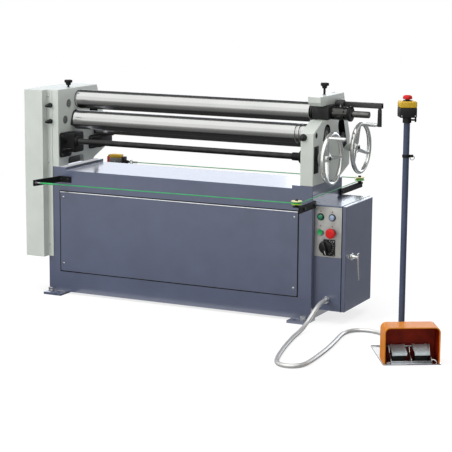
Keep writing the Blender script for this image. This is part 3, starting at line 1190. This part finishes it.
class BuildFootStation(bpy.types.Operator):
    """Build the foot station's plate, brackets, treadles and guard"""
    bl_idname = "rolling_machine.foot_station"
    bl_label = "Foot station"

    def execute(self, context):
        self.base()
        self.treadles(context.scene.machine_sizes)
        self.guard()
        return {"FINISHED"}

    def base(self):
        """The floor plate with the bent frame, pivot pin and switch blocks."""
        plate = block((0, 0, 0), (250, 330, 4), 0)
        parts = [rounded(rounded(plate, 6, 4, Z), 0.5)]
        # Pieces on the plate start just inside it
        floor = 3.8
        side = [(22, floor), (22, 20), (60, 30), (86, 68), (107.5, 68), (107.5, floor)]
        for u in (36.5, 123.5, 210.5):
            parts.append(toned(drawn_out(side, 3, u, 0.5), 1))
        strap = ((20.6, 5), (20.6, 12), (20.6, 20.8), (40, 26), (60, 31), (73, 50), (85.4, 69))
        rods = [([(u, v, z) for v, z in strap], 1.7) for u in (37.9, 125, 212.1)]
        rods.append(([(37.9, 20, 9), (30, 18, 8), (18, 17, 6.2)], 2.0))
        rods.append(([(212, 20, 18), (220, 17, 20), (230, 14, 15), (234, 14, 6)], 2.2))
        for line, radius in rods:
            parts.append(toned(bent_bar(line, radius), 3))
        parts.append(toned(block((36.5, 14, floor), (213.5, 26, 14), 1.2), 1))
        pin = [(32.5, 3.4), (33.2, 4), (216.8, 4), (217.5, 3.4)]
        parts.append(toned(turned(pin, PIVOT, X, 28), 1))
        for u in (47.5, 145.5):
            parts.append(toned(block((u, 56, floor), (u + 57, 84, 26), 2, 3), 2))
            parts.append(toned(turned([(25, 5), (29, 5), (30.5, 3)], (u + 28.5, 66, 0), Z, 24), 2))
        piece("pedal_frame", parts, ["plate_steel", "zinc_plate", "black_abs", "polished_chrome"],
              "pedal_base", place=STATION)

    def treadles(self, sizes):
        """The two ribbed treadles with their webs and eyes on the pivot pin."""
        rise, depth = 22, 68
        width, wall, eye_length = 65, 3, 12
        run = hypot(rise, depth)
        slant = Matrix.Translation((0, 30, 42)) @ Matrix.Rotation(atan2(rise, depth), 4, "X")
        pitch = 61.0 / sizes.tread_ribs
        rib_top = wall + sizes.rib_height / MM
        for end, u0 in (("left", 43.5), ("right", 141.5)):
            parts = [block((u0, 0, 0), (u0 + width, run, wall), 0.9),
                     block((u0, 0, -10), (u0 + width, 3.2, 1), 0.9)]
            for rib in range(sizes.tread_ribs):
                edge = u0 + 2 + rib * pitch
                parts.append(block((edge, 3, 2.4), (edge + pitch * 0.5, run - 3, rib_top), 0.5))
            for part in parts:
                placed(part, slant)
            web = [(48, 47.4), (102, 49.2), (94, 55), (94, 61.8)]
            parts += [drawn_out(web, wall, u, 0.4) for u in (u0, u0 + width - wall)]
            for u in (u0, u0 + width - eye_length):
                eye = [(u, 8.4), (u + 0.6, 9), (u + eye_length - 0.6, 9), (u + eye_length, 8.4)]
                parts.append(turned(eye, PIVOT, X, 36, 4.15))
            name = end + "_pedal"
            piece(name + "_tread", parts, ["cast_aluminium"], name, "pedal_" + end,
                  STATION)

    def guard(self):
        """The pressed guard: arch, back wall and a rolled front edge."""
        width, side, foot, depth = 250, 5, 4, 110
        corner_u, corner_z = 29, 138
        bends = [polar(corner_u - side, turn) for turn in range(0, 91, 10)]
        corner = [(corner_u - along, corner_z + up) for along, up in bends]
        arch = [(side, foot)] + corner
        arch += [(width - u, z) for u, z in reversed(arch)]
        bm = bmesh.new()
        rim = [bm.verts.new((u, 115, z)) for u, z in arch]
        sweep = [bm.edges.new(pair) for pair in zip(rim, rim[1:])]
        bm.faces.new(rim)
        pushed(bm, bmesh.ops.extrude_edge_only(bm, edges=sweep), (0, -depth, 0))
        settled(bm)
        if sum(face.normal.z for face in bm.faces if face.calc_center_median().z > 161) < 0:
            bmesh.ops.reverse_faces(bm, faces=bm.faces)
        bmesh.ops.solidify(bm, geom=bm.faces[:], thickness=3.0)
        bm.faces.ensure_lookup_table()
        inside = Vector((125, 50, 80))
        for face in bm.faces:
            face.material_index = int(face.normal.dot(inside - face.calc_center_median()) > 0)
        # The rolled edge runs just inside the arch
        inset = 7.6
        bends = [polar(corner_u - inset, turn) for turn in range(0, 91, 15)]
        top = corner_z + corner_u - inset
        edge = [(inset, 4.5), (inset, 60), (inset, 120)]
        edge += [(corner_u - along, corner_z + up) for along, up in bends]
        edge += [(80, top), (170, top)]
        edge += [(width - corner_u + up, corner_z + along) for along, up in bends]
        edge += [(width - inset, 120), (width - inset, 60), (width - inset, 4.5)]
        parts = [bm, bent_bar([(u, 7, z) for u, z in edge], 2.5)]
        for u in (9, 227):
            parts.append(block((u, 114.6, 4), (u + 14, 128, 6.5), 0.6))
            parts.append(toned(button_screw((u + 7, 122, 6.5), Z, 4, 2.2), 2))
        piece("guard_shell", parts, ["orange_enamel", "red_oxide_wash", "zinc_plate"],
              "pedal_guard", place=STATION)


class BuildPost(bpy.types.Operator):
    """Build the post with its ring, and the emergency head on top"""
    bl_idname = "rolling_machine.post"
    bl_label = "Post and emergency head"

    def execute(self, context):
        u, v = 110.0, 190.0
        at = (u, v, 0)
        # Bore of what is clamped round the tube, and half the emergency head's width
        clamp_bore, half = 13.6, 36
        tube = turned([(4, 35), (5, 36), (9.2, 36), (10, 35), (10, 21), (11, 18.5), (14, 15), (17.5, 13.5),
                       (1030, 13.5), (1030, 11), (1020, 11)], at, Z, 48)
        parts = [tube]
        for turn in (30, 150, 270):
            du, dv = polar(28, turn)
            parts.append(toned(screw((u + du, v + dv, 10), Z, 4, 4), 1))
        band = turned([(862, 16), (862.5, 16.5), (873.5, 16.5), (874, 16)], at, Z, 48, clamp_bore)
        tab = block((u + 15, v - 5, 862.5), (u + 31, v + 5, 873.5), 1.2)
        loop = ring(9, 1.7, (u + 27, v, 860), Y, 40, 12)
        parts += [toned(band, 2), toned(tab, 2), toned(loop, 1)]
        piece("station_post", parts, ["slate_tube_enamel", "zinc_plate", "black_satin_enamel"],
              "post", place=STATION)
        clamp = turned([(1010, 17.5), (1011, 18.5), (1034.5, 18.5)], at, Z, 48, clamp_bore)
        case = block((u - half, v - half, 1034), (u + half, v + half, 1076), 4, 3)
        inside = half - 1
        seam = block((u - inside, v - inside, 1075.2), (u + inside, v + inside, 1076.6), 0.2, 1)
        stem = turned([(17, 4), (33.5, 4), (33.5, 8), (34.5, 9), (39, 9), (39.5, 8)], (u, v, 1022), X, 32)
        head = [clamp, case, seam, stem]
        for du in (-29, 29):
            head.append(toned(button_screw((u + du, v - half, 1042), BACK_Y, 2.6, 1.0), 1))
        piece("emergency_case", head, ["black_abs", "zinc_plate"], "estop_box",
              place=STATION)
        lid = block((u - half, v - half, 1076), (u + half, v + half, 1103), 5, 4)
        collar = turned([(1102.5, 20), (1105, 20), (1106.2, 18.8)], at, Z, 44, 10.6)
        lid_parts = [lid, toned(collar, 1)]
        rivet = [(1102.4, 3.4), (1103.0, 3.4), (1103.0, 1.6), (1102.6, 1.4)]
        for du, dv in product((-27, 27), (-27, 27)):
            lid_parts.append(toned(turned(rivet, (u + du, v + dv, 0), Z, 20), 1))
        piece("emergency_lid", lid_parts, ["yellow_abs", "black_abs"], "estop_lid",
              place=STATION)
        stem = turned([(1063, 10), (1112, 10)], at, Z, 36)
        dome = turned([(1111, 17.6), (1111.8, 19.3), (1113.4, 20), (1119.6, 20), (1122.6, 19), (1125.4, 16.6),
                       (1127.3, 12), (1128, 6)], at, Z, 56)
        piece("emergency_mushroom", [toned(stem, 1), dome], ["red_abs", "black_abs"],
              "estop_button", "post_stop", STATION)
        return {"FINISHED"}


class BuildGlands(bpy.types.Operator):
    """Build the conduit glands at the control box and at the guard"""
    bl_idname = "rolling_machine.glands"
    bl_label = "Glands"

    def execute(self, context):
        x, y, z = 787, -155.5, 112
        at = (x, y, z)
        body = hexagon(33, 10, at, BACK_Y, 1.4)
        spigot = turned([(-16, 9.8), (0.5, 9.8)], at, BACK_Y, 32)
        locknut = hexagon(28, 5, (x, y + 2.1, z), Y)
        nut = turned([(9.5, 14.4), (10.6, 15.8), (12, 16), (20, 16), (22, 15), (26, 12.6), (28, 11.4),
                      (28, 10.2), (24, 10.2)], at, BACK_Y, 44)
        guard = turned([(-3, 9.9), (0, 9.9), (0, 17.2), (0.8, 18), (9, 18), (10, 17), (10, 15), (20, 15),
                        (24, 13), (26, 11.4), (26, 10.2), (22, 10.2)], (60, 115, 50), Y, 44)
        piece("conduit_glands", [body, spigot, locknut, nut, placed(guard, STATION)], ["zinc_plate"],
              "cable_glands")
        return {"FINISHED"}


class BuildCabinetDetails(bpy.types.Operator):
    """Build the frames' cover plates, seals and weld beads, the panel's edge and the rear panel"""
    bl_idname = "rolling_machine.cabinet_details"
    bl_label = "Cabinet details"

    def execute(self, context):
        beads = []
        for end, side in product((-1, 1), (-1, 1)):
            line = ((716, 12.6), (690, 12.4), (650, 12.7), (624, 12.5))
            beads.append(bent_bar([(side * x, end * 184.6, z) for x, z in line], 2.6))
        low, high = span("front_panel")
        made = piece("frame_cover_plates", self.plates(low, high), ["black_satin_enamel"])
        made.visible_glossy = False
        piece("foot_weld_beads", beads, ["slate_powder_coat"])
        under = high.z - 3.2
        lip = drawn_out([(low.y, under), (low.y - 2.4, under), (low.y, high.z)], high.x - low.x, low.x)
        piece("panel_top_edge", [lip], ["zinc_plate"], crease=20)
        rear = [block((-540, 184.1, 140), (540, 187, 530), 1.2)]
        for x, step in product((-440, -60, 320), range(7)):
            z = 440 - step * 34
            rear.append(drawn_out([(186.8, z), (196, z - 4), (196, z - 6), (186.8, z - 20)], 120, x, 1.0))
        for x, z in product((-526, 0, 526), (154, 516)):
            rear.append(toned(button_screw((x, 187, z), Y, 6, 3), 1))
        piece("rear_access_panel", rear, ["slate_powder_coat", "zinc_plate"])
        return {"FINISHED"}

    def plates(self, low, high):
        """The front panel's seal, the black plates and plugs of the frames and the door's lip."""
        margin = 5
        seal = block((low.x - margin, -185.2, low.z - margin), (high.x + margin, -184, high.z + margin),
                     0.3, 1)
        cover_x, plug_y = 722, -150
        plates = [seal, block((cover_x - 5, -177, 704), (cover_x, -124, 831), 1.6, 3)]
        plug = [(705, 13.9), (719.4, 13.9), (719.9, 13), (719.9, 9), (717, 8)]
        plates.append(turned(plug, (0, plug_y, 881), X, 36))
        for z in (717, 819):
            plates.append(button_screw((cover_x, plug_y, z), X, 4.5, 2.2))
        for joint, face, radius, turns in (("front_wheel_turn", 731.2, 34.0, (45, 135, 225, 315)),
                                           ("rear_wheel_turn", 741.2, 18.0, ())):
            y, z = axes[joint].yz
            washer = [(face, radius), (face + 2, radius), (face + 3, radius - 1)]
            plates.append(turned(washer, (0, y, z), X, 48, 14.6))
            for turn in turns:
                dy, dz = polar(25, turn)
                plates.append(button_screw((face + 3, y + dy, z + dz), X, 4, 0.7))
        for near, far in ((-678, -674), (674, 678)):
            plates.append(block((near, -94.5, 647.2), (far, 54.5, 685), 1))
        # Rubber lip round the control box's open side, which shows as a dark seam beside the door
        box_low, box_high = span("control_box")
        front, rear, foot, top = box_low.y, box_high.y, box_low.z, box_high.z
        edge = 860.0
        for start, end in (((856.3, front - 1.2, foot + 1), (edge, front + 6, top)),
                           ((854.5, front, top - 3), (edge, rear, top + 0.8)),
                           ((854.5, front, foot - 0.8), (edge, rear, foot + 3))):
            plates.append(block(start, end, 0.6))
        return plates


class MachinePanel(bpy.types.Panel):
    """List the pieces, colours and sizes in the 3D view's sidebar"""
    bl_idname = "VIEW3D_PT_rolling_machine"
    bl_label = "Plate rolling machine"
    bl_space_type = "VIEW_3D"
    bl_region_type = "UI"
    bl_category = "Rolling machine"

    def draw(self, context):
        for builder in BUILDERS:
            self.layout.operator(builder.bl_idname)
        for group in (context.scene.machine_colours, context.scene.machine_sizes):
            for key in group.__annotations__:
                self.layout.prop(group, key)


BUILDERS = (BuildStage, BuildConduit, PaintPackedParts, BuildFrames, BuildRolls, BuildUpperBearing,
            BuildHandwheels, BuildKnobs, BuildReleaseLever, BuildHousings, BuildBolts, BuildControlPanel,
            BuildDoorFittings, BuildContactors, BuildTripWire, BuildFootStation, BuildPost, BuildGlands,
            BuildCabinetDetails)
CLASSES = (MachineColours, MachineSizes) + BUILDERS + (MachinePanel,)


def register():
    """Register the classes and their settings."""
    for cls in CLASSES:
        bpy.utils.register_class(cls)
    bpy.types.Scene.machine_colours = PointerProperty(type=MachineColours)
    bpy.types.Scene.machine_sizes = PointerProperty(type=MachineSizes)


def unregister():
    """Remove the settings and the classes."""
    del bpy.types.Scene.machine_sizes
    del bpy.types.Scene.machine_colours
    for cls in reversed(CLASSES):
        bpy.utils.unregister_class(cls)


def main():
    """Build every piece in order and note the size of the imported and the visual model."""
    register()
    for builder in BUILDERS:
        group, name = builder.bl_idname.split(".")
        getattr(getattr(bpy.ops, group), name)()


if __name__ == "__main__":
    main()
